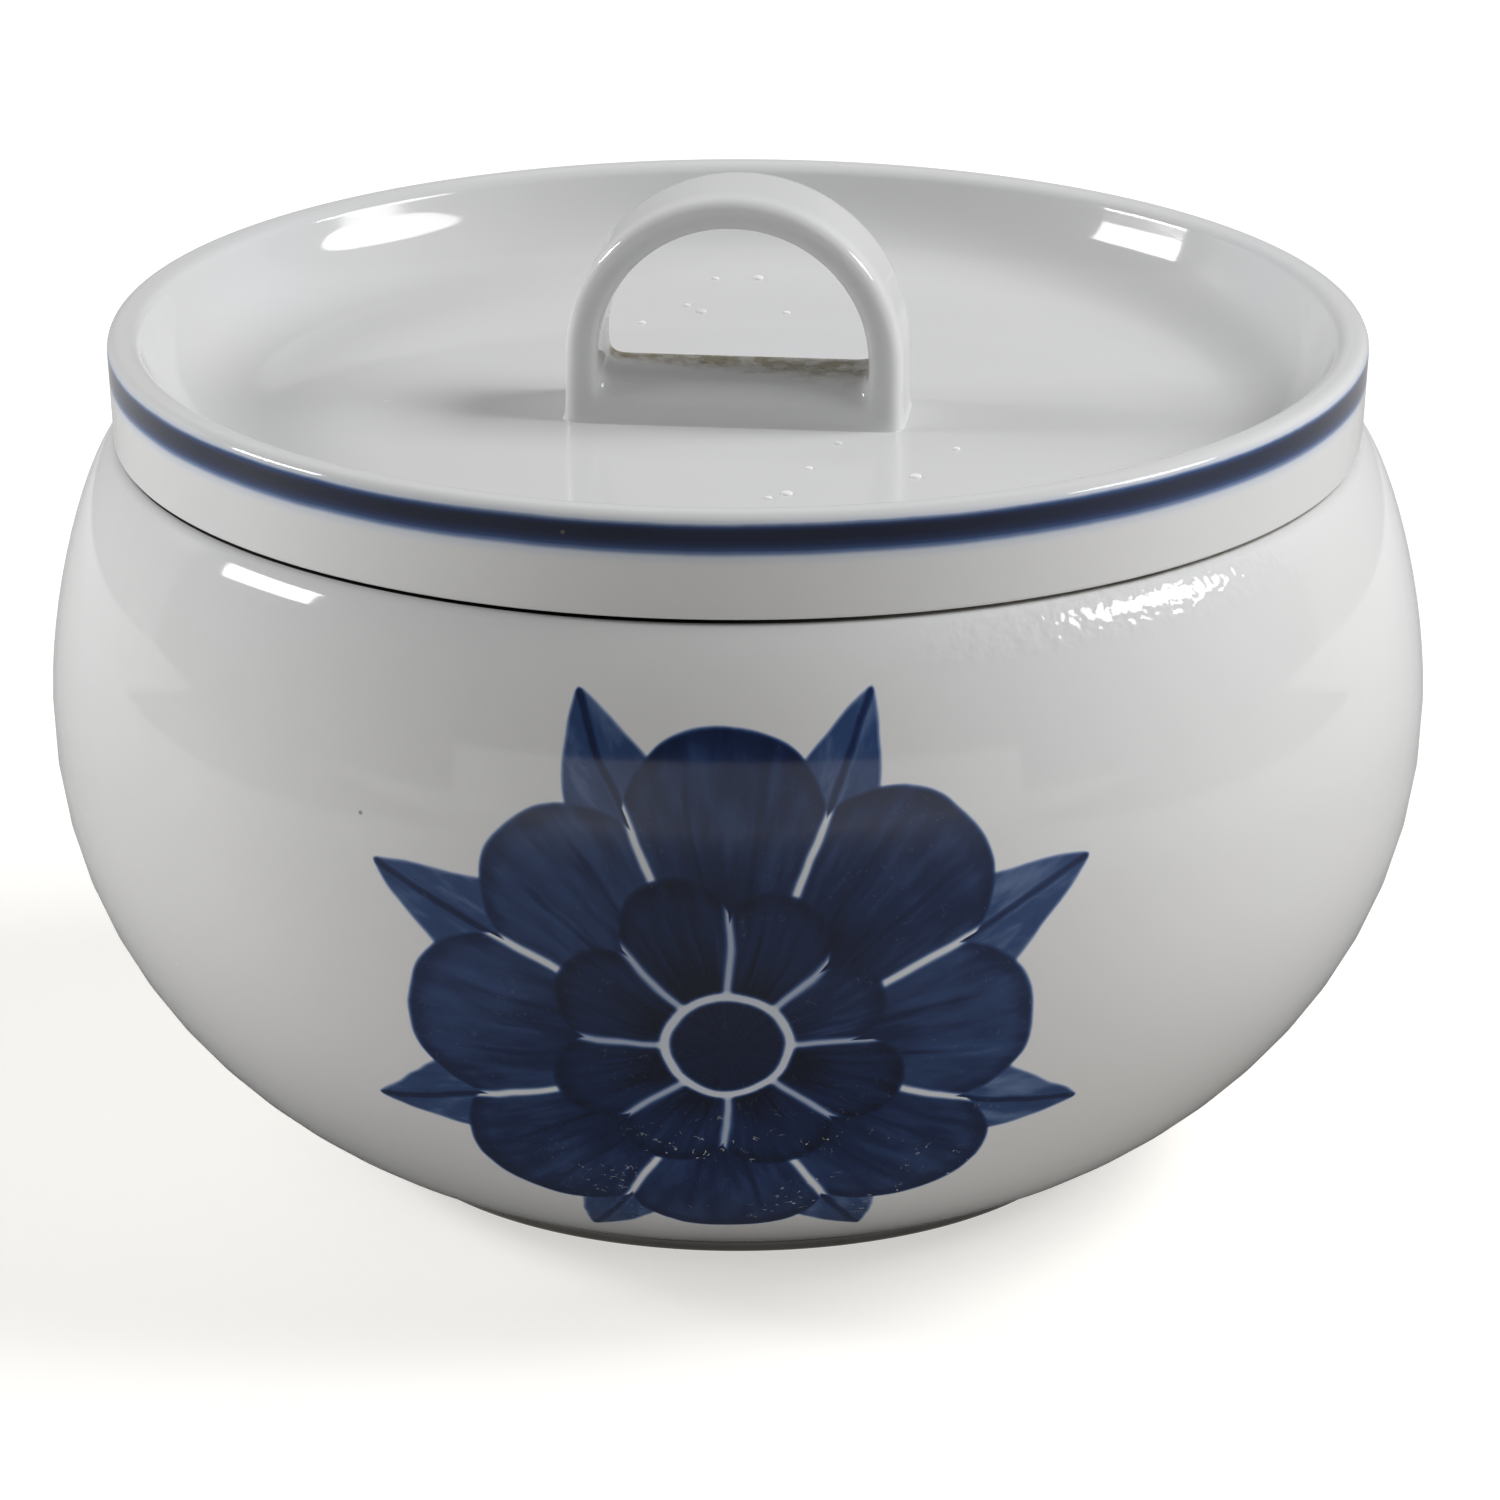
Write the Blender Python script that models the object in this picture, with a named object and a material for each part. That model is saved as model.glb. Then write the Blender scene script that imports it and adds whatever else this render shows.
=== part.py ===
"""A covered porcelain bowl: a round-bellied bowl on a turned foot ring, and a loose
dish-shaped lid whose loop handle is formed by itself and stuck to the lid with slip.

Metres, +Z up. The origin is the middle of the foot ring, on the table.
"""

import math

import bmesh
import bpy
from mathutils import Vector

# Bowl
BELLY_RADIUS = 0.0625       # widest circle of the outside
BELLY_HEIGHT = 0.0432       # from the table to the widest circle
SHOULDER_RISE = 0.0239      # from the widest circle up to the rim
MOUTH_RADIUS = 0.0564       # outer edge of the rim
RIM_WIDTH = 0.0034          # flat seat on top of the rim
WALL = 0.0038               # wall at the widest circle
BOTTOM = 0.0044             # floor of the bowl, inside the foot ring
INSIDE_FLAT = 0.0250        # radius of the flat of the inside
FOOT_RADIUS = 0.0329        # outside of the foot ring
FOOT_RISE = 0.0012          # from the table to where the bowl leaves the foot ring
FOOT_WIDTH = 0.0034         # flat that stands on the table
FOOT_HOLLOW = 0.0022        # depth under the bowl, inside the foot ring

# Fullness of the bowl's curves: how far each end of a curve holds its direction
FOOT_SWEEP = 0.0081         # out of the foot ring
FOOT_SLOPE = 18.0           # degrees above level, leaving the foot ring
BELLY_DROP = 0.0272         # down from the widest circle
BELLY_LIFT = 0.0093         # up from the widest circle
MOUTH_SWEEP = 0.0038        # down from the rim
MOUTH_LEAN = 40.8           # degrees off plumb, at the rim
INSIDE_SWEEP = 0.0120       # out of the flat of the inside

# Lid
LID_RISE = 0.0096           # from the lid's seat to the top of its lip
LIP_FLARE = 0.0005          # how far the lip stands out past the bowl's rim
LIP_WIDTH = 0.0027          # top of the lip
LIP_ROUND = 0.0010          # rounding of the lip's two edges
DISH_DEPTH = 0.0082         # from the top of the lip down to the dish's floor
COVE_WIDTH = 0.0110         # curved stretch between the dish's floor and the lip
COVE_SWEEP = 0.0062         # how far the floor runs on into the cove
COVE_STEEP = 0.0040         # how far the lip's inner side runs on into the cove
COVE_SLOPE = 62.0           # degrees above level, at the lip
DISH_THICKNESS = 0.0036     # floor of the dish
FLANGE_DEPTH = 0.0045       # ring that hangs into the bowl's mouth, below the seat
FLANGE_WIDTH = 0.0028
FLANGE_CLEARANCE = 0.0007   # between that ring and the inside of the mouth
SEAT_GAP = 0.0003           # unglazed seat of the lid to the unglazed rim

# Handle on the lid: a flat base bar, two straight legs and a round arch
HANDLE_WIDTH = 0.0302       # across the legs
HANDLE_DEPTH = 0.0106       # front to back
HANDLE_BAND = 0.0034        # thickness of legs and arch
HANDLE_BAR = 0.0033         # thickness of the base bar
HANDLE_LEG = 0.0026         # straight stretch between the bar and the arch
HANDLE_EDGE = 0.0009        # rounding of the long edges
SLIP_GAP = 0.0003           # layer of slip under the base bar

EDGE_ROUND = 0.0005         # softened edges of rim, foot ring, seat and flange

# Fineness of the facets
TURN_STEPS = 64
CURVE_STEPS = 9
SHORT_CURVE_STEPS = 6
ROUND_STEPS = 2
ARCH_STEPS = 24
EDGE_STEPS = 2
SQUARE_EDGE = math.radians(60)      # edges that turn more than this are softened
SMOOTH_ANGLE = math.radians(35)     # edges that turn less than this are shaded smooth

PORCELAIN_WHITE = (0.62, 0.63, 0.63, 1.0)
PORCELAIN_ROUGHNESS = 0.12

# Places worked out from the sizes above
RIM_HEIGHT = BELLY_HEIGHT + SHOULDER_RISE
SEAT_HEIGHT = RIM_HEIGHT + SEAT_GAP
MOUTH_INSIDE = MOUTH_RADIUS - RIM_WIDTH
LIP_RADIUS = MOUTH_RADIUS + LIP_FLARE
DISH_FLOOR = LID_RISE - DISH_DEPTH


def remove_everything():
    for thing in list(bpy.data.objects):
        bpy.data.objects.remove(thing, do_unlink=True)


def porcelain(name):
    """White clear-glazed porcelain."""
    material = bpy.data.materials.new(name)
    material.use_nodes = True
    shader = material.node_tree.nodes["Principled BSDF"]
    shader.inputs["Base Color"].default_value = PORCELAIN_WHITE
    shader.inputs["Roughness"].default_value = PORCELAIN_ROUGHNESS
    shader.inputs["Metallic"].default_value = 0.0
    return material


def heading(degrees):
    """Unit direction in the (radius, height) plane, measured up from level outwards."""
    return Vector((math.cos(math.radians(degrees)), math.sin(math.radians(degrees))))


def curve(start, start_pull, end, end_pull, steps):
    """Points of a cubic curve that leaves start along start_pull and arrives from end + end_pull."""
    handles = (start, start + start_pull, end + end_pull, end)
    points = []
    for step in range(steps + 1):
        t = step / steps
        weights = ((1 - t) ** 3, 3 * t * (1 - t) ** 2, 3 * t * t * (1 - t), t ** 3)
        points.append(sum((w * h for w, h in zip(weights, handles)), Vector((0.0, 0.0))))
    return points


def rounded_corner(before, corner, after, radius):
    """Arc of the given radius that takes the place of a sharp corner."""
    back = (before - corner).normalized()
    onward = (after - corner).normalized()
    half_angle = back.angle(onward) / 2
    reach = radius / math.tan(half_angle)
    middle = corner + (back + onward).normalized() * radius / math.sin(half_angle)
    first = corner + back * reach - middle
    last = corner + onward * reach - middle
    points = []
    for step in range(ROUND_STEPS + 1):
        spoke = first.lerp(last, step / ROUND_STEPS)
        points.append(middle + spoke.normalized() * radius)
    return points


def soften(corners):
    """Outline from (point, rounding) pairs, where a rounding of 0 keeps the point as it is."""
    points = []
    for index, (point, rounding) in enumerate(corners):
        if rounding == 0:
            points.append(point)
            continue
        before = corners[index - 1][0]
        after = corners[index + 1][0]
        points.extend(rounded_corner(before, point, after, rounding))
    return points


def plain(points):
    """Points of a curve as corners that stay unrounded."""
    return [(point, 0) for point in points]


def new_object(name, mesh_builder, material, parent=None):
    """Object of the given name from a finished bmesh."""
    mesh = bpy.data.meshes.new(name)
    mesh_builder.to_mesh(mesh)
    mesh_builder.free()
    mesh.materials.append(material)
    mesh.shade_smooth()
    mesh.set_sharp_from_angle(angle=SMOOTH_ANGLE)
    thing = bpy.data.objects.new(name, mesh)
    bpy.context.collection.objects.link(thing)
    thing.parent = parent
    return thing


def turned(outline):
    """Solid of revolution about Z of an outline that starts and ends on the axis."""
    solid = bmesh.new()
    verts = [solid.verts.new((point.x, 0.0, point.y)) for point in outline]
    edges = [solid.edges.new(pair) for pair in zip(verts, verts[1:])]
    bmesh.ops.spin(
        solid,
        geom=verts + edges,
        cent=(0.0, 0.0, 0.0),
        axis=(0.0, 0.0, 1.0),
        angle=2 * math.pi,
        steps=TURN_STEPS,
        use_merge=True,
    )
    bmesh.ops.remove_doubles(solid, verts=solid.verts, dist=1e-6)
    bmesh.ops.recalc_face_normals(solid, faces=solid.faces)
    return solid


def bowl_outline():
    """Inside from its middle up to the rim, down the outside to the foot ring, and under it."""
    floor = FOOT_HOLLOW + BOTTOM
    belly_inside = Vector((BELLY_RADIUS - WALL, BELLY_HEIGHT))
    belly_outside = Vector((BELLY_RADIUS, BELLY_HEIGHT))
    rim_inside = Vector((MOUTH_INSIDE, RIM_HEIGHT))
    rim_outside = Vector((MOUTH_RADIUS, RIM_HEIGHT))
    foot_top = Vector((FOOT_RADIUS, FOOT_RISE))
    down = Vector((0.0, -BELLY_DROP))
    up = Vector((0.0, BELLY_LIFT))
    below_rim = heading(MOUTH_LEAN - 90) * MOUTH_SWEEP
    off_foot = heading(FOOT_SLOPE) * FOOT_SWEEP

    flat_edge = Vector((INSIDE_FLAT, floor))
    off_flat = Vector((INSIDE_SWEEP, 0.0))
    inside = curve(flat_edge, off_flat, belly_inside, down, CURVE_STEPS)
    inside += curve(belly_inside, up, rim_inside, below_rim, SHORT_CURVE_STEPS)[1:-1]
    outside = curve(rim_outside, below_rim, belly_outside, up, SHORT_CURVE_STEPS)[1:]
    outside += curve(belly_outside, down, foot_top, off_foot, CURVE_STEPS)[1:]

    foot_inside = FOOT_RADIUS - FOOT_WIDTH
    corners = plain([Vector((0.0, floor))] + inside)
    corners += [(rim_inside, EDGE_ROUND), (rim_outside, EDGE_ROUND)]
    corners += plain(outside)
    corners += [
        (Vector((FOOT_RADIUS, 0.0)), EDGE_ROUND),
        (Vector((foot_inside, 0.0)), EDGE_ROUND),
        (Vector((foot_inside, FOOT_HOLLOW)), EDGE_ROUND),
        (Vector((0.0, FOOT_HOLLOW)), 0),
    ]
    return soften(corners)


def lid_outline():
    """Dish from its middle out to the lip, down the wall to the seat, and round the flange.

    Heights are measured from the seat.
    """
    lip_inside = Vector((LIP_RADIUS - LIP_WIDTH, LID_RISE))
    lip_outside = Vector((LIP_RADIUS, LID_RISE))
    cove_top = lip_inside - Vector((0.0, LIP_ROUND))
    cove_foot = Vector((lip_inside.x - COVE_WIDTH, DISH_FLOOR))
    cove = curve(
        cove_foot,
        Vector((COVE_SWEEP, 0.0)),
        cove_top,
        -heading(COVE_SLOPE) * COVE_STEEP,
        CURVE_STEPS,
    )
    flange_outside = MOUTH_INSIDE - FLANGE_CLEARANCE
    flange_inside = flange_outside - FLANGE_WIDTH
    underside = DISH_FLOOR - DISH_THICKNESS

    corners = plain([Vector((0.0, DISH_FLOOR))] + cove)
    corners += [
        (lip_inside, LIP_ROUND / 2),
        (lip_outside, LIP_ROUND),
        (Vector((MOUTH_RADIUS, 0.0)), EDGE_ROUND),
        (Vector((flange_outside, 0.0)), 0),
        (Vector((flange_outside, -FLANGE_DEPTH)), EDGE_ROUND),
        (Vector((flange_inside, -FLANGE_DEPTH)), EDGE_ROUND),
        (Vector((flange_inside, underside)), 0),
        (Vector((0.0, underside)), 0),
    ]
    return soften(corners)


def arch_outline(half_width, base):
    """Upright outline from the right foot, over the arch, to the left foot."""
    spring = HANDLE_BAR + HANDLE_LEG
    points = [Vector((half_width, base))]
    for step in range(ARCH_STEPS + 1):
        angle = math.pi * step / ARCH_STEPS
        points.append(Vector((half_width * math.cos(angle), spring + half_width * math.sin(angle))))
    points.append(Vector((-half_width, base)))
    return points


def handle_solid():
    """Closed loop: the ring between two arch outlines, drawn out front to back, edges softened."""
    outer = arch_outline(HANDLE_WIDTH / 2, 0.0)
    inner = arch_outline(HANDLE_WIDTH / 2 - HANDLE_BAND, HANDLE_BAR)
    front = -HANDLE_DEPTH / 2
    solid = bmesh.new()
    outer_verts = [solid.verts.new((point.x, front, point.y)) for point in outer]
    inner_verts = [solid.verts.new((point.x, front, point.y)) for point in inner]
    ring = list(zip(outer_verts, inner_verts))
    faces = []
    for (outer_a, inner_a), (outer_b, inner_b) in zip(ring, ring[1:] + ring[:1]):
        faces.append(solid.faces.new((outer_a, outer_b, inner_b, inner_a)))
    drawn = bmesh.ops.extrude_face_region(solid, geom=faces)["geom"]
    back = [part for part in drawn if isinstance(part, bmesh.types.BMVert)]
    bmesh.ops.translate(solid, verts=back, vec=(0.0, HANDLE_DEPTH, 0.0))
    bmesh.ops.recalc_face_normals(solid, faces=solid.faces)

    long_edges = []
    for edge in solid.edges:
        along_face = edge.verts[0].co.y == edge.verts[1].co.y
        foot = all(vert.co.z == 0.0 for vert in edge.verts)
        if along_face and not foot and edge.calc_face_angle() > SQUARE_EDGE:
            long_edges.append(edge)
    bmesh.ops.bevel(
        solid,
        geom=long_edges,
        offset=HANDLE_EDGE,
        offset_type="OFFSET",
        segments=EDGE_STEPS,
        profile=0.5,
        affect="EDGES",
    )
    return solid


def build():
    remove_everything()
    new_object("bowl", turned(bowl_outline()), porcelain("bowl_glaze"))

    lid_seat = bpy.data.objects.new("lid_seat", None)
    lid_seat.location = (0.0, 0.0, SEAT_HEIGHT)
    bpy.context.collection.objects.link(lid_seat)
    new_object("lid", turned(lid_outline()), porcelain("lid_glaze"), lid_seat)
    handle = new_object("lid_handle", handle_solid(), porcelain("handle_glaze"), lid_seat)
    handle.location = (0.0, 0.0, DISH_FLOOR + SLIP_GAP)


build()
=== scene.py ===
# %% [markdown]
# # A covered porcelain bowl
#
# The object is a white porcelain bowl with a loose lid. The lid is a shallow dish with a loop
# handle on its floor and a dark blue stripe under its lip. The plain solids of bowl, lid and loop
# come from the frame. This lesson models the fine, glazed surface of each piece over its solid,
# mixes the finishes, sets up a small photo studio, and hands the pieces back to the frame.

# %% Load the solids
import math

import bpy
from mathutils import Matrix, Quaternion, Vector


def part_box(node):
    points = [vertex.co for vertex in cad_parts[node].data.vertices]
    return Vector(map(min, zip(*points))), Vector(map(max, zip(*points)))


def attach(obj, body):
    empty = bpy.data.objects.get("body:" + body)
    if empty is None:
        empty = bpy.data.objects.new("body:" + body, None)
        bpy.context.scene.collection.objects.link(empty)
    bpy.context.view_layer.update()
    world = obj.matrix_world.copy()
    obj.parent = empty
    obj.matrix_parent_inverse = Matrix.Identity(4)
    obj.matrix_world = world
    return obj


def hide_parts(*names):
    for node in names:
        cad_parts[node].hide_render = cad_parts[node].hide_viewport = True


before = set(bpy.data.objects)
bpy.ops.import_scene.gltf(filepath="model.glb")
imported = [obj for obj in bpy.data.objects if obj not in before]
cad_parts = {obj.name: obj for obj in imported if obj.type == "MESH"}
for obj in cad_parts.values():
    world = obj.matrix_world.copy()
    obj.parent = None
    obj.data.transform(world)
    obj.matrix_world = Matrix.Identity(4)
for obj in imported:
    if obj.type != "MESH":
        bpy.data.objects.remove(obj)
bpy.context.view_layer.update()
bowl_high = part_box("bowl")[1]
lid_low, lid_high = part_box("lid")
loop_low, loop_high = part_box("lid_handle")

# %% [markdown]
# ## Sizes
#
# A potter shapes a bowl with a profile: a curve that is held against the turning clay. The heights
# and widths that the solids show are read from the frame. The rest of the profile, such as how
# full the belly is, can't be read from a box, so it is written down here, in millimetres.

# %% Sizes of the bowl, the lid and the loop
MM = 0.001

BELLY_RADIUS = bowl_high.x / MM
RIM_HEIGHT = bowl_high.z / MM
BELLY_HEIGHT = 43.2
MOUTH_RADIUS = 56.4
RIM_WIDTH = 3.4
WALL = 3.8
INSIDE_FLOOR = 6.6
INSIDE_FLAT = 25.0
FOOT_RADIUS = 32.9
FOOT_RISE = 1.2
FOOT_WIDTH = 3.4
FOOT_HOLLOW = 2.2

LIP_HEIGHT = lid_high.z / MM
FLANGE_BOTTOM = lid_low.z / MM
SEAT_HEIGHT = 67.4
LIP_RADIUS = 56.9
LIP_WIDTH = 2.7
DISH_DEPTH = 8.2
DISH_FLOOR = LIP_HEIGHT - DISH_DEPTH
DISH_THICKNESS = 3.6
COVE_WIDTH = 11.0
FLANGE_OUTSIDE = 52.3
FLANGE_WIDTH = 2.8

LOOP_SWELL = 0.2
LOOP_WIDTH = (loop_high.x - loop_low.x) / MM + 2 * LOOP_SWELL
LOOP_DEPTH = (loop_high.y - loop_low.y) / MM
LOOP_TOP = loop_high.z / MM
LOOP_BAND = 3.1
BAR_DROP = 2.1
# The arch is a half circle, and the base bar ends a little below its middle.
ARCH_HEIGHT = LOOP_TOP - LOOP_WIDTH / 2
BAR_TOP = ARCH_HEIGHT - BAR_DROP

EDGE = 0.5
RIM_EDGE = 1.8
SEAT_EDGE = 0.35
print(f"Belly {2 * BELLY_RADIUS:.1f} mm, lip {LIP_HEIGHT:.1f} mm high, loop {LOOP_TOP:.1f} mm high")

# %% [markdown]
# ## Drawing a profile
#
# A profile could be extruded point by point, but a Bezier curve needs only the few points where
# the shape changes. Each point is a knot with two pulls: how far, and in which direction, the
# curve runs before and after it. A sharp corner is rounded off by two knots whose pulls make an
# arc. The curve is then converted to a chain of edges.

# %% Knots, corners and the profile tool
STRETCH_STEPS = 14
LEVEL_OUT, UP, LEVEL_IN, DOWN = 0, 90, 180, -90
STILL = Vector((0.0, 0.0, 0.0))


def pull(degrees, length):
    """A length in millimetres along a direction in the profile's plane, up from level outwards."""
    angle = math.radians(degrees)
    return Vector((math.cos(angle), 0.0, math.sin(angle))) * length * MM


def knot(radius, height, arrive=STILL, leave=STILL):
    """A point of the profile, with the pulls of the curve before and after it."""
    here = Vector((radius, 0.0, height)) * MM
    return here, here + arrive, here + leave


def corner(radius, height, back, onward, rounding, arrive=0.0, leave=0.0):
    """Two knots that round a corner off. back and onward are the directions of its two sides."""
    here = Vector((radius, 0.0, height)) * MM
    to_back = pull(back, 1.0).normalized()
    to_next = pull(onward, 1.0).normalized()
    half_angle = to_back.angle(to_next) / 2
    reach = rounding * MM / math.tan(half_angle)
    bow = rounding * MM * math.tan((math.pi - 2 * half_angle) / 4) * 4 / 3
    first = here + to_back * reach
    last = here + to_next * reach
    return [
        (first, first + to_back * arrive * MM, first - to_back * bow),
        (last, last - to_next * bow, last + to_next * leave * MM),
    ]


def draw_profile(name, knots):
    """A chain of edges along the curve through the knots."""
    bpy.ops.object.select_all(action="DESELECT")
    bpy.ops.curve.primitive_bezier_curve_add(location=(0.0, 0.0, 0.0))
    curve = bpy.context.object
    curve.name = name
    curve.data.resolution_u = STRETCH_STEPS
    places = curve.data.splines[0].bezier_points
    places.add(len(knots) - len(places))
    for place, (here, arrive, leave) in zip(places, knots):
        place.handle_left_type = "FREE"
        place.handle_right_type = "FREE"
        place.co = here
        place.handle_left = arrive
        place.handle_right = leave
    bpy.ops.object.convert(target="MESH")
    return bpy.context.object


# %% [markdown]
# ## Turning
#
# The spin operator sweeps the chain of edges once round the upright axis, as the wheel does. The
# first and last copies lie on each other and the ends of the chain lie on the axis, so doubles are
# merged, and then all faces are turned outwards. Edges that turn by more than 40 degrees stay
# crisp, and everything else is shaded smooth.

# %% The potter's wheel
TURN_STEPS = 192
MERGE = 0.001 * MM
CRISP = math.radians(40)


def turn(piece):
    """Turns a profile into a closed round piece."""
    bpy.ops.object.mode_set(mode="EDIT")
    bpy.ops.mesh.select_all(action="SELECT")
    bpy.ops.mesh.spin(steps=TURN_STEPS, angle=2 * math.pi, center=(0, 0, 0), axis=(0, 0, 1))
    bpy.ops.mesh.select_all(action="SELECT")
    bpy.ops.mesh.remove_doubles(threshold=MERGE)
    bpy.ops.mesh.normals_make_consistent(inside=False)
    bpy.ops.object.mode_set(mode="OBJECT")
    bpy.ops.object.shade_smooth_by_angle(angle=CRISP)
    print(f"{piece.name}: {len(piece.data.polygons)} faces")
    return piece


# %% [markdown]
# ## The bowl
#
# The profile starts in the middle of the inside, climbs to the flat rim on which the lid rests,
# comes down the outside over the belly, and ends under the foot ring. The wall gets thicker
# towards the foot, as on a turned bowl. How full a curve is depends on the lengths of its pulls.

# %% Bowl
FOOT_SLOPE = 18.0
FOOT_FILLET = 0.9
MOUTH_LEAN = 40.8
SHOULDER_FULLNESS = 9.3
BELLY_FULLNESS = 27.2
FOOT_FULLNESS = 7.5
RIM_FULLNESS = 3.8
INSIDE_FULLNESS = 12.0

below_rim = MOUTH_LEAN - 90
to_shoulder = pull(UP, SHOULDER_FULLNESS)
to_foot = pull(DOWN, BELLY_FULLNESS)
belly_knot = knot(BELLY_RADIUS, BELLY_HEIGHT, to_shoulder, to_foot)
foot_fillet = corner(
    FOOT_RADIUS, FOOT_RISE, FOOT_SLOPE, DOWN, FOOT_FILLET, arrive=FOOT_FULLNESS
)
bowl = turn(draw_profile("porcelain_bowl", [
    knot(0.0, INSIDE_FLOOR),
    knot(INSIDE_FLAT, INSIDE_FLOOR, leave=pull(LEVEL_OUT, INSIDE_FULLNESS)),
    knot(BELLY_RADIUS - WALL, BELLY_HEIGHT, to_foot, to_shoulder),
    *corner(
        MOUTH_RADIUS - RIM_WIDTH, RIM_HEIGHT, below_rim, LEVEL_OUT, EDGE, arrive=RIM_FULLNESS
    ),
    *corner(MOUTH_RADIUS, RIM_HEIGHT, LEVEL_IN, below_rim, RIM_EDGE, leave=RIM_FULLNESS),
    belly_knot,
    *foot_fillet,
    *corner(FOOT_RADIUS, 0.0, UP, LEVEL_IN, EDGE),
    *corner(FOOT_RADIUS - FOOT_WIDTH, 0.0, LEVEL_OUT, UP, EDGE),
    *corner(FOOT_RADIUS - FOOT_WIDTH, FOOT_HOLLOW, DOWN, LEVEL_IN, EDGE),
    knot(0.0, FOOT_HOLLOW),
]))

# %% [markdown]
# ## The lid
#
# The lid is a dish: a flat floor, a cove that rises to a rounded lip, an upright wall flush with
# the bowl, and underneath a flat seat and a flange that hangs into the mouth and keeps the lid in
# its place.

# %% Lid
LIP_OUTSIDE_ROUND = 1.2
LIP_INSIDE_ROUND = 1.5
COVE_SLOPE = 68.0
COVE_FULLNESS = 7.0
LIP_FULLNESS = 4.6

cove_foot = LIP_RADIUS - LIP_WIDTH - COVE_WIDTH
wall_lean = math.degrees(math.atan2(SEAT_HEIGHT - LIP_HEIGHT, MOUTH_RADIUS - LIP_RADIUS))
lid = turn(draw_profile("porcelain_lid", [
    knot(0.0, DISH_FLOOR),
    knot(cove_foot, DISH_FLOOR, leave=pull(LEVEL_OUT, COVE_FULLNESS)),
    *corner(
        LIP_RADIUS - LIP_WIDTH, LIP_HEIGHT, COVE_SLOPE - 180, LEVEL_OUT,
        LIP_INSIDE_ROUND, arrive=LIP_FULLNESS,
    ),
    *corner(LIP_RADIUS, LIP_HEIGHT, LEVEL_IN, wall_lean, LIP_OUTSIDE_ROUND),
    *corner(MOUTH_RADIUS, SEAT_HEIGHT, wall_lean + 180, LEVEL_IN, SEAT_EDGE),
    knot(FLANGE_OUTSIDE, SEAT_HEIGHT),
    *corner(FLANGE_OUTSIDE, FLANGE_BOTTOM, UP, LEVEL_IN, EDGE),
    *corner(FLANGE_OUTSIDE - FLANGE_WIDTH, FLANGE_BOTTOM, LEVEL_OUT, UP, EDGE),
    *corner(FLANGE_OUTSIDE - FLANGE_WIDTH, DISH_FLOOR - DISH_THICKNESS, DOWN, LEVEL_IN, EDGE),
    knot(0.0, DISH_FLOOR - DISH_THICKNESS),
]))

# %% [markdown]
# A few crumbs of grit fell on the lid before it was fired, and the glaze has run over them. Each is
# a small flattened ball, half sunk in the dish, and all of them are joined to the lid.

# %% Crumbs in the glaze of the lid
CRUMB_RADIUS = 0.42
CRUMB_FLATNESS = 0.5
CRUMB_DIVISIONS = 3
LARGE_CRUMB = 1.3
SMALL_CRUMB = 0.9
CRUMB_PLACES = [
    (-6.7, 31.0), (-8.3, 33.0), (-11.8, 26.8), (-2.6, 42.9), (-6.6, 42.3), (1.3, 31.5),
    (6.9, -24.6), (8.1, -17.0), (5.4, -26.0), (17.7, -18.4), (20.6, -9.8), (10.0, -9.2),
]


def add_crumbs(piece):
    """Joins a flattened ball to the piece at each place. Every third one is larger."""
    for number, (across, along) in enumerate(CRUMB_PLACES):
        share = LARGE_CRUMB if number % 3 == 0 else SMALL_CRUMB
        bpy.ops.mesh.primitive_ico_sphere_add(
            subdivisions=CRUMB_DIVISIONS,
            radius=CRUMB_RADIUS * share * MM,
            location=(across * MM, along * MM, DISH_FLOOR * MM),
        )
        bpy.context.object.scale.z = CRUMB_FLATNESS
        bpy.ops.object.transform_apply(location=True, rotation=True, scale=True)
        bpy.ops.object.shade_smooth()
        piece.select_set(True)
        bpy.context.view_layer.objects.active = piece
        bpy.ops.object.join()
    print(f"{piece.name}: {len(CRUMB_PLACES)} crumbs, {len(piece.data.polygons)} faces")


add_crumbs(lid)

# %% [markdown]
# ## The loop handle
#
# The loop is a strap of clay bent to a D and stuck to the lid with slip. It is built up from a
# rounded plate inside the clay of the lid. The plate is raised to just under the dish's floor,
# inset once on the level, and then in small steps that rise on a quarter circle: that is the fillet
# of slip and glaze round the foot of the loop. It is then raised to the base bar, its two ends are
# raised to legs, and one leg is spun over to the other as the arch.

# %% Foot of the loop: a plate with a fillet, raised to the base bar
SKIRT = 2.5
SUNK = 0.6
LEDGE = 2.4
FILLET = 0.5
FILLET_STEPS = 6
LOOP_CORNER = 0.9
CORNER_STEPS = 6
NEAR = 0.01 * MM
leg_inside = (LOOP_WIDTH / 2 - LOOP_BAND) * MM


def loop_plate():
    """The rounded plate under the loop, as large as the loop's foot, its fillet and a ledge."""
    bpy.ops.object.select_all(action="DESELECT")
    bpy.ops.mesh.primitive_plane_add(size=1.0, location=(0.0, 0.0, (DISH_FLOOR - SKIRT) * MM))
    plate = bpy.context.object
    plate.name = "porcelain_loop"
    margin = 2 * (FILLET + LEDGE)
    plate.scale = ((LOOP_WIDTH + margin) * MM, (LOOP_DEPTH + margin) * MM, 1.0)
    bpy.ops.object.transform_apply(location=True, rotation=True, scale=True)
    bpy.ops.object.mode_set(mode="EDIT")
    bpy.ops.mesh.select_all(action="SELECT")
    bpy.ops.mesh.bevel(
        offset=(LOOP_CORNER + FILLET + LEDGE) * MM, segments=CORNER_STEPS, affect="VERTICES"
    )
    bpy.ops.mesh.select_mode(type="FACE")
    bpy.ops.mesh.select_all(action="SELECT")
    return plate


def raise_by(height):
    """Extrudes the selected faces straight up."""
    bpy.ops.mesh.extrude_region_move(TRANSFORM_OT_translate={"value": (0.0, 0.0, height * MM)})


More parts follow.
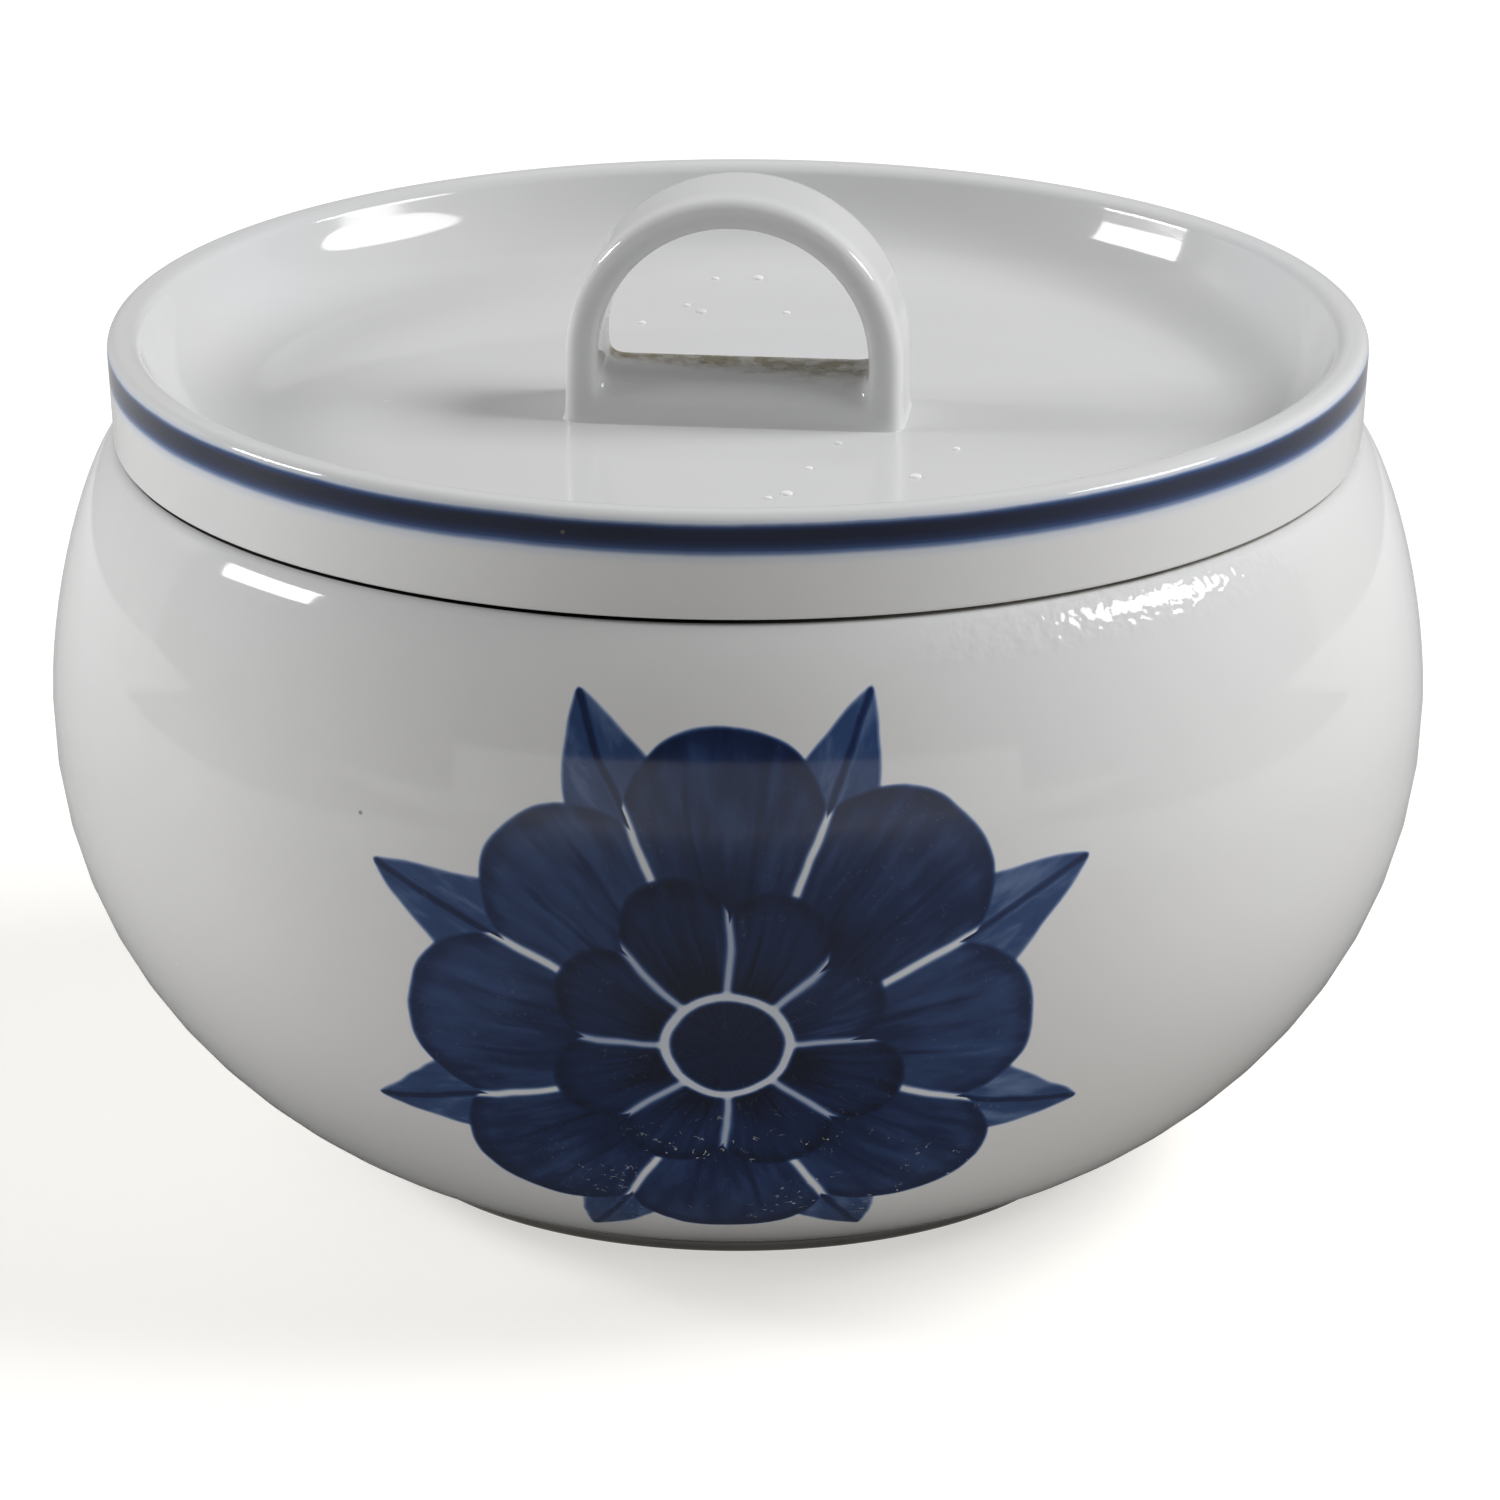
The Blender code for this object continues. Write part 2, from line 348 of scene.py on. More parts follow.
def raise_fillet():
    """Insets that step in and up along a hollow quarter circle."""
    step_angle = math.pi / 2 / FILLET_STEPS
    for step in range(FILLET_STEPS):
        inward = math.sin((step + 1) * step_angle) - math.sin(step * step_angle)
        upward = math.cos(step * step_angle) - math.cos((step + 1) * step_angle)
        bpy.ops.mesh.inset(thickness=inward * FILLET * MM, depth=upward * FILLET * MM)


loop = loop_plate()
raise_by(SKIRT - SUNK)
bpy.ops.mesh.inset(thickness=LEDGE * MM, depth=0.0)
raise_fillet()
raise_by(BAR_TOP - DISH_FLOOR + SUNK - FILLET)
for side in (-leg_inside, leg_inside):
    bpy.ops.mesh.select_all(action="SELECT")
    bpy.ops.mesh.bisect(plane_co=(side, 0.0, 0.0), plane_no=(1.0, 0.0, 0.0))
bpy.ops.object.mode_set(mode="OBJECT")
print("Foot of the loop:", len(loop.data.polygons), "faces")

# %% Legs and arch of the loop
ARCH_STEPS = 56
BAR_ROUND = 2.2
BAR_ROUND_STEPS = 5


def select_faces(piece, wanted):
    """Selects, in edit mode, the faces whose middle and normal are wanted."""
    bpy.ops.object.mode_set(mode="EDIT")
    bpy.ops.mesh.select_mode(type="FACE")
    bpy.ops.mesh.select_all(action="DESELECT")
    bpy.ops.object.mode_set(mode="OBJECT")
    for face in piece.data.polygons:
        face.select = wanted(face.center, face.normal)
    bpy.ops.object.mode_set(mode="EDIT")


def leg_tops(height):
    """Tells whether a face is the flat top of a leg at that height."""
    return lambda middle, normal: abs(middle.z - height * MM) < NEAR and abs(middle.x) > leg_inside


def on_bar_top(place):
    """Tells whether a place lies on the flat top of the base bar, between the legs."""
    return abs(place.z - BAR_TOP * MM) < NEAR and abs(place.x) < leg_inside + NEAR


def round_bar_front():
    """Cuts rows into the base bar's top and lowers them along a quarter circle to the front."""
    front = -LOOP_DEPTH / 2
    for step in range(1, BAR_ROUND_STEPS + 1):
        angle = math.pi / 2 * step / BAR_ROUND_STEPS
        row = (front + BAR_ROUND - BAR_ROUND * math.sin(angle)) * MM
        select_faces(loop, lambda middle, normal: on_bar_top(middle))
        bpy.ops.mesh.bisect(plane_co=(0.0, row, 0.0), plane_no=(0.0, 1.0, 0.0))
        bpy.ops.mesh.select_mode(type="VERT")
        bpy.ops.mesh.select_all(action="DESELECT")
        bpy.ops.object.mode_set(mode="OBJECT")
        for vertex in loop.data.vertices:
            vertex.select = on_bar_top(vertex.co) and abs(vertex.co.y - row) < NEAR
        bpy.ops.object.mode_set(mode="EDIT")
        drop = BAR_ROUND * (1 - math.cos(angle))
        bpy.ops.transform.translate(value=(0.0, 0.0, -drop * MM))


select_faces(loop, leg_tops(BAR_TOP))
raise_by(ARCH_HEIGHT - BAR_TOP)
select_faces(loop, lambda middle, normal: leg_tops(ARCH_HEIGHT)(middle, normal) and middle.x > 0)
bpy.ops.mesh.spin(
    steps=ARCH_STEPS, angle=math.pi, center=(0.0, 0.0, ARCH_HEIGHT * MM), axis=(0.0, 1.0, 0.0)
)
select_faces(loop, leg_tops(ARCH_HEIGHT))
bpy.ops.mesh.delete(type="FACE")
bpy.ops.mesh.select_all(action="SELECT")
bpy.ops.mesh.remove_doubles(threshold=MERGE)
bpy.ops.mesh.fill_holes(sides=0)
round_bar_front()
bpy.ops.mesh.select_all(action="SELECT")
bpy.ops.mesh.normals_make_consistent(inside=False)
bpy.ops.object.mode_set(mode="OBJECT")
print("Loop:", len(loop.data.polygons), "faces")

# %% [markdown]
# The clay of the loop was smoothed with a wet sponge, and the glaze has run over it, so nothing on
# it is sharp: outer edges, the rim of the opening and the inner corners are all soft. Bevels of so
# many widths that meet in corners are hard to model. Remesh turns the loop into small even quads
# instead, and Smooth then evens them out, which rounds the edges and fills the corners at once.

# %% Soft edges of the loop
VOXEL = 0.25
SMOOTH_STEPS = 100
SMOOTH_SHARE = 0.5

bpy.ops.object.modifier_add(type="REMESH")
remesh = loop.modifiers[-1]
remesh.mode = "VOXEL"
remesh.voxel_size = VOXEL * MM
bpy.ops.object.modifier_apply(modifier=remesh.name)
bpy.ops.object.modifier_add(type="SMOOTH")
smooth = loop.modifiers[-1]
smooth.factor = SMOOTH_SHARE
smooth.iterations = SMOOTH_STEPS
bpy.ops.object.modifier_apply(modifier=smooth.name)
bpy.ops.object.shade_smooth()
loop_top = max(vertex.co.z for vertex in loop.data.vertices) / MM
print(f"Soft loop: {len(loop.data.polygons)} faces, top {loop_top:.2f} mm")

# %% [markdown]
# ## Formulas as nodes
#
# A procedural finish is a formula of the place on the surface. Written as bare node calls, a
# formula is hard to read, so a small class stands for a number that changes over the surface.
# Adding or multiplying two of them adds a Math node to the material.

# %% A number that changes over the surface


class Field:
    """The output of a node, with arithmetic that adds Math nodes."""

    def __init__(self, tree, socket):
        self.tree = tree
        self.socket = socket

    def math(self, operation, *others):
        node = self.tree.nodes.new("ShaderNodeMath")
        node.operation = operation
        for socket, value in zip(node.inputs, (self, *others)):
            feed(self.tree, socket, value)
        return Field(self.tree, node.outputs[0])

    def __add__(self, other):
        return self.math("ADD", other)

    __radd__ = __add__

    def __sub__(self, other):
        return self.math("SUBTRACT", other)

    def __rsub__(self, other):
        return self.math("MULTIPLY_ADD", -1.0, other)

    def __mul__(self, other):
        return self.math("MULTIPLY", other)

    __rmul__ = __mul__

    def __truediv__(self, other):
        return self.math("DIVIDE", other)

    def __pow__(self, other):
        return self.math("POWER", other)

    def __abs__(self):
        return self.math("ABSOLUTE")

    def rise(self, low, high):
        """0 below low, 1 above high, and a smooth slope between them."""
        node = self.tree.nodes.new("ShaderNodeMapRange")
        node.interpolation_type = "SMOOTHSTEP"
        for socket, value in zip(node.inputs, (self, low, high)):
            feed(self.tree, socket, value)
        return Field(self.tree, node.outputs[0])


def feed(tree, socket, value):
    """Links a field to a socket, or sets a plain number on it."""
    if isinstance(value, Field):
        tree.links.new(value.socket, socket)
    else:
        socket.default_value = value


def over(below, above, share):
    """A layer painted over another, by its share."""
    return below * (1 - share) + share * above


# %% [markdown]
# ## Noise, specks and colour
#
# Real surfaces are never even. Noise textures give soft variation at a stated size, and a Voronoi
# texture scatters dots, of which a random few are kept as specks. All of them read Object
# coordinates, so the pattern is in metres and stays on the piece.

# %% Textures at real sizes


def place_on(tree):
    """The place on the piece, in metres."""
    return tree.nodes.new("ShaderNodeTexCoord").outputs["Object"]


def noise(tree, place, size, detail=2.0, lift=0.5):
    """Cloudy variation from 0 to 1 whose clouds are about size millimetres wide."""
    node = tree.nodes.new("ShaderNodeTexNoise")
    tree.links.new(place, node.inputs["Vector"])
    node.inputs["Scale"].default_value = 1 / (size * MM)
    node.inputs["Detail"].default_value = detail
    node.inputs["Roughness"].default_value = lift
    return node


def cloud(tree, place, size, detail=2.0, lift=0.5):
    return Field(tree, noise(tree, place, size, detail, lift).outputs[0])


def specks(tree, place, spacing, radius, share):
    """Round dots, one in each cell of the given spacing, of which only a share is kept."""
    node = tree.nodes.new("ShaderNodeTexVoronoi")
    tree.links.new(place, node.inputs["Vector"])
    node.inputs["Scale"].default_value = 1 / (spacing * MM)
    chance = tree.nodes.new("ShaderNodeSeparateColor")
    tree.links.new(node.outputs["Color"], chance.inputs[0])
    kept = Field(tree, chance.outputs[0]).math("LESS_THAN", share)
    size = Field(tree, chance.outputs[1]) * 0.6 + 0.7
    reach = Field(tree, node.outputs["Distance"]) / size
    return (1 - reach.rise(radius / spacing * 0.5, radius / spacing)) * kept


def mixed(tree, share, first, second):
    """A colour between two colours. Each is a socket, or a plain colour."""
    node = tree.nodes.new("ShaderNodeMix")
    node.data_type = "RGBA"
    feed(tree, node.inputs[0], share)
    for socket, colour in zip(node.inputs[6:8], (first, second)):
        if isinstance(colour, bpy.types.NodeSocket):
            tree.links.new(colour, socket)
        else:
            socket.default_value = (*colour, 1.0)
    return node.outputs[2]


def shade(tree, share, stops):
    """A colour read off a scale of (share, colour) stops."""
    node = tree.nodes.new("ShaderNodeValToRGB")
    feed(tree, node.inputs[0], share)
    scale = node.color_ramp
    while len(scale.elements) < len(stops):
        scale.elements.new(1.0)
    for stop, (at, colour) in zip(scale.elements, stops):
        stop.position = at
        stop.color = (*colour, 1.0)
    return node.outputs[0]


# %% [markdown]
# ## Cobalt blue
#
# The blue is cobalt oxide brushed on the raw clay, under the glaze. Thin paint fires to a pale
# washed blue, thick paint to a navy that is almost black, and the edge bleeds a little into the
# glaze. So the painting is one number, how thick the paint lies, and a colour scale does the rest.

# %% The scale of the blue
WHITE = (0.66, 0.67, 0.682)
WARM_WHITE = (0.66, 0.655, 0.652)
COBALT = [
    (0.00, WHITE),
    (0.10, (0.50, 0.54, 0.62)),
    (0.25, (0.14, 0.20, 0.35)),
    (0.45, (0.026, 0.056, 0.150)),
    (0.70, (0.009, 0.020, 0.068)),
    (1.00, (0.004, 0.007, 0.022)),
]

# %% [markdown]
# ## The glaze
#
# Glazed porcelain is a white body under a thin clear glass. One Principled shader with a low
# roughness does both. What makes it look fired and used is small: a slow drift between cool and
# warm white, a ripple in the glass, a few glaze pimples and iron specks, and a roughness that
# isn't the same everywhere. White lint shows where it lies on dark paint: short crooked hairs,
# which are the thin lines where a noise passes its middle value.

# %% Glaze finish
IRON_BROWN = (0.12, 0.10, 0.085)
PIMPLE_WHITE = (0.80, 0.80, 0.79)
PAINT_SHOWS = 0.08
PEBBLE_HEIGHT = 3.8
GLAZE_DEPTH = 0.05
GLAZE_IOR = 1.5


def new_finish(name):
    """A new material, with its node tree and its Principled shader."""
    material = bpy.data.materials.new(name)
    material.use_nodes = True
    tree = material.node_tree
    return material, tree, tree.nodes["Principled BSDF"]


def bumps(tree, height, depth, strength=1.0):
    """The normal of a bumpy surface, on which a height of 1 stands for a depth in millimetres."""
    node = tree.nodes.new("ShaderNodeBump")
    feed(tree, node.inputs["Height"], height)
    node.inputs["Distance"].default_value = depth * MM
    node.inputs["Strength"].default_value = strength
    return node.outputs[0]


def lint(tree, place):
    """Short crooked hairs and dots, in patches."""
    hairs = 1 - abs(cloud(tree, place, 1.2, detail=2.0) - 0.5).rise(0.004, 0.018)
    hairs = hairs * cloud(tree, place, 0.8, detail=1.0).rise(0.58, 0.64)
    patches = cloud(tree, place, 6.0, detail=3.0).rise(0.46, 0.60)
    dots = specks(tree, place, spacing=0.9, radius=0.13, share=0.18)
    return hairs.math("MAXIMUM", dots) * patches


def glaze_colour(tree, place, pimples, paint, linty):
    """White that drifts from cool to warm, with paint, lint, iron specks and pimples on it."""
    body = mixed(tree, cloud(tree, place, 34.0), WHITE, WARM_WHITE)
    if paint:
        thickness = paint(tree, place)
        blue = shade(tree, thickness, COBALT)
        body = mixed(tree, thickness.rise(0.0, PAINT_SHOWS), body, blue)
    if linty:
        body = mixed(tree, lint(tree, place) * linty(tree, place), body, WHITE)
    iron = specks(tree, place, spacing=9.0, radius=0.22, share=0.10)
    body = mixed(tree, iron * 0.65, body, IRON_BROWN)
    return mixed(tree, pimples * 0.35, body, PIMPLE_WHITE)


def glaze_skin(tree, place, pimples, pebbled):
    """The normal of the glass: slow and fine ripples, pimples, and pebbles where it has them."""
    ripple = cloud(tree, place, 6.0, detail=1.0) * 0.55 + cloud(tree, place, 0.9, detail=2.0) * 0.04
    if pebbled:
        pebbles = cloud(tree, place, 1.1, detail=1.0) * pebbled(tree, place)
        ripple = ripple + pebbles * PEBBLE_HEIGHT
    return bumps(tree, ripple + pimples * 0.5, GLAZE_DEPTH, strength=0.5)


def glaze(name, paint=None, stain_and_shade=None, pebbled=None, linty=None):
    """Glazed porcelain, with cobalt paint, stains, painted shade and other traces where they are
    asked for.
    """
    material, tree, shader = new_finish(name)
    place = place_on(tree)
    pimples = specks(tree, place, spacing=4.6, radius=0.30, share=0.07)
    body = glaze_colour(tree, place, pimples, paint, linty)
    gloss = cloud(tree, place, 11.0, detail=4.0) * 0.05 + 0.045
    # Laid over the body: the stain in the loop, and the painted shade with some grime round the
    # foot.
    if stain_and_shade:
        dirt_and_shade, dirt_and_shade_colour = stain_and_shade(tree, place)
        body = mixed(tree, dirt_and_shade, body, dirt_and_shade_colour)
        gloss = gloss + dirt_and_shade * 0.35
    tree.links.new(body, shader.inputs["Base Color"])
    feed(tree, shader.inputs["Roughness"], gloss)
    tree.links.new(glaze_skin(tree, place, pimples, pebbled), shader.inputs["Normal"])
    shader.inputs["IOR"].default_value = GLAZE_IOR
    return material


# %% [markdown]
# On the right of the bowl's shoulder the glaze drew together while it cooled and left a pebbled
# skin. It breaks the mirror image of the lamp there into flecks. The lint lies low on the front,
# more of it to the right. Each edge of these patches is soft: a pair says where it starts and ends.

# %% Pebbled patch on the shoulder, and where the lint lies
PATCH_BOTTOM = (RIM_HEIGHT - 4.6, RIM_HEIGHT - 3.0)
PATCH_LEFT = (16.0, 28.0)
PATCH_BACK = (-35.0, -20.0)
LINT_BOTTOM = (7.0, 12.0)
LINT_TOP = (17.0, 25.0)
LINT_LEFT = (-14.0, 4.0)
LINT_RIGHT = (24.0, 36.0)
LINT_SHARE = 0.75
LINT_TRACE = 0.04


def parts_of(tree, place):
    """Across, along and height of the place, in millimetres."""
    node = tree.nodes.new("ShaderNodeSeparateXYZ")
    tree.links.new(place, node.inputs[0])
    return tuple(Field(tree, socket) / MM for socket in node.outputs)


def diagonal(first, second):
    """Length of the diagonal over two sides."""
    return (first * first + second * second).math("SQRT")


def shoulder_patch(tree, place):
    """1 on the right front of the shoulder, falling to 0 round it."""
    across, along, height = parts_of(tree, place)
    to_the_front = 1 - along.rise(*PATCH_BACK)
    return height.rise(*PATCH_BOTTOM) * across.rise(*PATCH_LEFT) * to_the_front


def low_front(tree, place):
    """Highest on a patch low on the front, with a trace of it elsewhere."""
    across, _, height = parts_of(tree, place)
    low = (1 - height.rise(*LINT_TOP)) * height.rise(*LINT_BOTTOM)
    middle = across.rise(*LINT_LEFT) * (1 - across.rise(*LINT_RIGHT))
    return low * middle * LINT_SHARE + LINT_TRACE


# %% [markdown]
# ## The blue stripe
#
# A stripe is banded on while the lid turns: the brush stands still, so the edges are level but
# not sharp, and the paint is thinner where the brush ran dry.

# %% Stripe under the lip
STRIPE_TOP = LIP_HEIGHT - 1.16
STRIPE_BOTTOM = LIP_HEIGHT - 3.21
BLEED_UP = 0.55
BLEED_DOWN = 1.10
HALO = 0.10
WOBBLE = 0.3
TREMBLE = 0.06


def stripe(tree, place):
    """Thickness of the cobalt in the stripe round the lid. It has run down more than up."""
    height = parts_of(tree, place)[2]
    height = height + cloud(tree, place, 14.0, detail=3.0) * WOBBLE
    height = height + cloud(tree, place, 1.2) * TREMBLE - (WOBBLE + TREMBLE) / 2
    inside = height.rise(STRIPE_BOTTOM - BLEED_DOWN, STRIPE_BOTTOM + BLEED_DOWN)
    inside = inside * (1 - height.rise(STRIPE_TOP - BLEED_UP, STRIPE_TOP + BLEED_UP))
    halo = height.rise(STRIPE_BOTTOM - 2 * BLEED_DOWN, STRIPE_BOTTOM)
    halo = halo * (1 - height.rise(STRIPE_TOP, STRIPE_TOP + 2 * BLEED_UP))
    dark = inside * (cloud(tree, place, 20.0, detail=3.0) * 0.35 + 0.75)
    return dark.math("MAXIMUM", halo * HALO)


# %% [markdown]
# ## The painted blossom
#
# The front of the bowl carries a round blossom with two rings of petals and leaf tips, brushed in
# one blue. It is drawn on a flat chart that touches the belly at the middle of the blossom. A
# point's place on the chart is its place seen along the chart's normal, stretched so that its
# distance from the middle is the true distance: that keeps the petals even on the round belly.
# Folding the angle round the middle into one petal's sector draws all petals of a ring at once.

# %% Chart on the belly
PAINT_AZIMUTH = 5.0
PAINT_SHARE = 0.17
SWAY = 2.6
SWAY_SIZE = 15.0
NOT_ZERO = 0.0001


def on_curve(first, second, share):
    """Point and direction of the curve between two knots, at a share of the way."""
    handles = (first[0], first[2], second[1], second[0])
    rest = 1 - share
    weights = (rest ** 3, 3 * share * rest ** 2, 3 * share ** 2 * rest, share ** 3)
    slopes = (-rest ** 2, rest ** 2 - 2 * share * rest, 2 * share * rest - share ** 2, share ** 2)
    point = sum((w * h for w, h in zip(weights, handles)), Vector())
    direction = sum((s * h for s, h in zip(slopes, handles)), Vector())
    return point, direction.normalized()


def round_the_axis(point, degrees):
    """A point of the profile's plane, turned to an azimuth that is counted from the front."""
    angle = math.radians(degrees)
    return Vector((point.x * math.sin(angle), -point.x * math.cos(angle), point.z))


belly_point, belly_down = on_curve(belly_knot, foot_fillet[0], PAINT_SHARE)
chart_middle = round_the_axis(belly_point, PAINT_AZIMUTH)
chart_up = round_the_axis(-belly_down, PAINT_AZIMUTH)
chart_right = round_the_axis(Vector((1.0, 0.0, 0.0)), PAINT_AZIMUTH + 90.0)
print("Blossom at", [round(c / MM, 1) for c in chart_middle], "mm")


def vector_math(tree, operation, first, second=None):
    """A vector node. Each operand is a socket, or a plain vector."""
    node = tree.nodes.new("ShaderNodeVectorMath")
    node.operation = operation
    for socket, value in zip(node.inputs, (first, second)):
        if isinstance(value, bpy.types.NodeSocket):
            tree.links.new(value, socket)
        elif value is not None:
            socket.default_value = value
    return node


def chart(tree, place):
    """Distance from the blossom's middle, in millimetres, and the angle round it."""
    from_middle = vector_math(tree, "SUBTRACT", place, chart_middle).outputs[0]
    distance = Field(tree, vector_math(tree, "LENGTH", from_middle).outputs[1]) / MM
    right = Field(tree, vector_math(tree, "DOT_PRODUCT", from_middle, chart_right).outputs[1]) / MM
    up = Field(tree, vector_math(tree, "DOT_PRODUCT", from_middle, chart_up).outputs[1]) / MM
    seen = (right * right + up * up + NOT_ZERO).math("SQRT")
    stretch = distance / seen
    sway = tree.nodes.new("ShaderNodeSeparateColor")
    clouds = noise(tree, place, SWAY_SIZE, detail=3.0, lift=0.45)
    tree.links.new(clouds.outputs[1], sway.inputs[0])
    right = right * stretch + Field(tree, sway.outputs[0]) * SWAY - SWAY / 2
    up = up * stretch + Field(tree, sway.outputs[1]) * SWAY - SWAY / 2
    return diagonal(right, up), up.math("ARCTAN2", right)


# %% Petals and leaf tips
PETALS = 8
PETAL_TIP = 28.0
HEART_TIP = 15.5
LEAF_TIP = 34.0
EYE_RADIUS = 5.2
PETAL_SCALLOP = 5.5
HEART_SCALLOP = 3.6
RING_PAINT = 0.08


def sector(angle, count, turned):
    """Number of the sector that an angle lies in, and how far from its middle, from 0 to 1."""
    along = angle * (count / (2 * math.pi)) + turned
    number = (along + 0.5).math("FLOOR")
    return number.math("FLOORED_MODULO", float(count)), abs(along - number) * 2


def chance_of(tree, number, seed):
    """A random number from 0 to 1 for each sector."""
    node = tree.nodes.new("ShaderNodeTexWhiteNoise")
    node.noise_dimensions = "1D"
    feed(tree, node.inputs["W"], number + seed)
    return Field(tree, node.outputs[0])


def brush_marks(tree, distance, angle, seed):
    """Streaks that run out from the middle, as the hairs of the brush leave them."""
    bundle = tree.nodes.new("ShaderNodeCombineXYZ")
    feed(tree, bundle.inputs[0], angle * 9.0)
    feed(tree, bundle.inputs[1], distance * 0.10)
    bundle.inputs[2].default_value = seed
    node = tree.nodes.new("ShaderNodeTexNoise")
    tree.links.new(bundle.outputs[0], node.inputs["Vector"])
    node.inputs["Scale"].default_value = 1.6
    node.inputs["Detail"].default_value = 3.0
    return Field(tree, node.outputs[0])


def petal_ring(tree, distance, angle, tip, turned, scallop, seed):
    """Where a ring of petals lies, and how thick the paint is in it."""
    number, off_middle = sector(angle, PETALS, turned)
    chance = chance_of(tree, number, seed)
    edge = chance * 2.4 + (tip - 1.2) - off_middle ** 2.4 * scallop - distance
    parting = distance * (1 - off_middle) * (math.pi / PETALS)
    covers = edge.rise(-0.35, 0.35)
    filled = parting.rise(0.10, 0.75)
    wash = brush_marks(tree, distance, angle, seed) * 0.50 + chance * 0.12 + 0.30
    wash = wash + (1 - edge.rise(0.2, 2.4)) * 0.16
    wash = wash + edge.rise(tip * 0.25, tip * 0.75) * 0.34
    vein = 1 - abs(off_middle - 0.36).rise(0.015, 0.055)
    wash = wash + vein * edge.rise(2.0, 6.0) * 0.10
    return covers, wash * filled + (1 - filled) * 0.05


def leaf_ring(tree, distance, angle):
    """Paint of the pointed leaves that show between the petals."""
    number, off_middle = sector(angle, PETALS, turned=0.5)
    length = chance_of(tree, number, seed=5.0) * 3.0 + (LEAF_TIP - 1.5)
    aside = distance * (off_middle * (math.pi / PETALS)).math("SINE")
    width = (length - distance).math("MAXIMUM", 0.0) ** 0.8 * 0.78
    inside = (width - aside).rise(-0.2, 0.5) * (length - distance).rise(0.0, 0.6)
    rib = 1 - aside.rise(0.1, 0.5)
    return inside * (brush_marks(tree, distance, angle, seed=9.0) * 0.5 + rib * 0.30 + 0.20)


def blossom(tree, place):
    """Thickness of the cobalt in the blossom."""
    distance, angle = chart(tree, place)
    thickness = leaf_ring(tree, distance, angle)
    covers, wash = petal_ring(
        tree, distance, angle, PETAL_TIP, turned=0.0, scallop=PETAL_SCALLOP, seed=1.0
    )
    thickness = over(thickness, wash, covers)
    covers, wash = petal_ring(
        tree, distance, angle, HEART_TIP, turned=0.5, scallop=HEART_SCALLOP, seed=3.0
    )
    thickness = over(thickness, wash + 0.12, covers)
    eye = 1 - distance.rise(EYE_RADIUS - 0.3, EYE_RADIUS + 0.3)
    ring = 1 - abs(distance - EYE_RADIUS).rise(0.2, 0.8)
    eye_wash = brush_marks(tree, distance, angle, seed=7.0) * 0.3 + 0.75
    thickness = over(thickness, eye_wash, eye)
    return over(thickness, RING_PAINT, ring)


# %% [markdown]
# ## Stain in the loop
#
# Dirt settles where a cloth doesn't reach: along the back of the base bar inside the loop, and in
# its corners. It is beige along the very edge, brown in front of it, and has dark flecks. The band
# is narrow at the left and wide at the right.

# %% Stain on the base bar
STAIN_LEFT = 3.8
STAIN_RIGHT = 9.5
STAIN_CLIMB = 1.3
STAIN_RAGGED = 3.4
STAIN_BROWN = (0.22, 0.185, 0.10)
STAIN_BEIGE = (0.50, 0.46, 0.30)
FLECK_BROWN = (0.045, 0.038, 0.028)


def bar_stain(tree, place):
    """How much of the loop is discoloured by use, and the colour of it."""
    across, along, height = parts_of(tree, place)
    opening = LOOP_WIDTH / 2 - LOOP_BAND
    inside = 1 - abs(across).rise(opening - 0.2, opening + 0.5)
    low = 1 - height.rise(BAR_TOP + 0.2, BAR_TOP + STAIN_CLIMB)
    above = height.rise(BAR_TOP - 1.2, BAR_TOP - 0.7)
    ragged = cloud(tree, place, 2.6, detail=4.0, lift=0.65)
    band = (across / opening + 1) * ((STAIN_RIGHT - STAIN_LEFT) / 2) + STAIN_LEFT
    from_edge = LOOP_DEPTH / 2 - along + (ragged - 0.5) * STAIN_RAGGED
    covers = 1 - (from_edge / band).rise(0.55, 1.05)
    patches = cloud(tree, place, 1.5, detail=3.0, lift=0.6).rise(0.36, 0.60)
    share = inside * low * above * covers * (patches * 0.45 + 0.50)
    beige = 1 - from_edge.rise(0.6, 1.4)
    colour = mixed(tree, beige, STAIN_BROWN, STAIN_BEIGE)
    flecks = specks(tree, place, spacing=1.9, radius=0.34, share=0.30) * covers * inside
    colour = mixed(tree, flecks, colour, FLECK_BROWN)
    return share.math("MAXIMUM", flecks * low * above * 0.9), colour


# %% [markdown]
# The bowl is darkened round the foot ring, where it stands on the table: painted shade, with some
# grime.

# %% Painted shade and grime round the foot
# Dark paint low on the bowl, strongest at the foot: painted shade of the table contact, with some
# grime.
SHADE_AND_GRIME_BOTTOM = 0.4
SHADE_AND_GRIME_TOP = 3.4
SHADE_AND_GRIME_BROWN = (0.050, 0.043, 0.034)


def foot_shade_and_grime(tree, place):
    """Share of painted shade, with some grime, round the foot, and its colour."""
    height = parts_of(tree, place)[2]
    ragged = cloud(tree, place, 5.0, detail=4.0, lift=0.6)
    share = (1 - height.rise(SHADE_AND_GRIME_BOTTOM, SHADE_AND_GRIME_TOP)) * (ragged * 0.16 + 0.86)
    return share, SHADE_AND_GRIME_BROWN


# %% [markdown]
# ## Bare porcelain
#
# The foot ring and the seat between bowl and lid carry no glaze, or they would stick in the kiln.
# Bare porcelain is matt, a little grainy and slightly warmer than the glaze. The joint between lid
# and bowl is painted dark along its outer edge, most of it on the left: painted shade of the gap
# between them.

# %% Bare porcelain finish
# Near-black paint in the joint between lid and bowl: painted shade of the gap.
JOINT_SHADE_COLOUR = (0.018, 0.016, 0.013)
JOINT_SHADE_EDGE = (MOUTH_RADIUS - 1.7, MOUTH_RADIUS - 1.1)
JOINT_SHADE_FADES = (0.0, 30.0)
GRAIN_DEPTH = 0.03


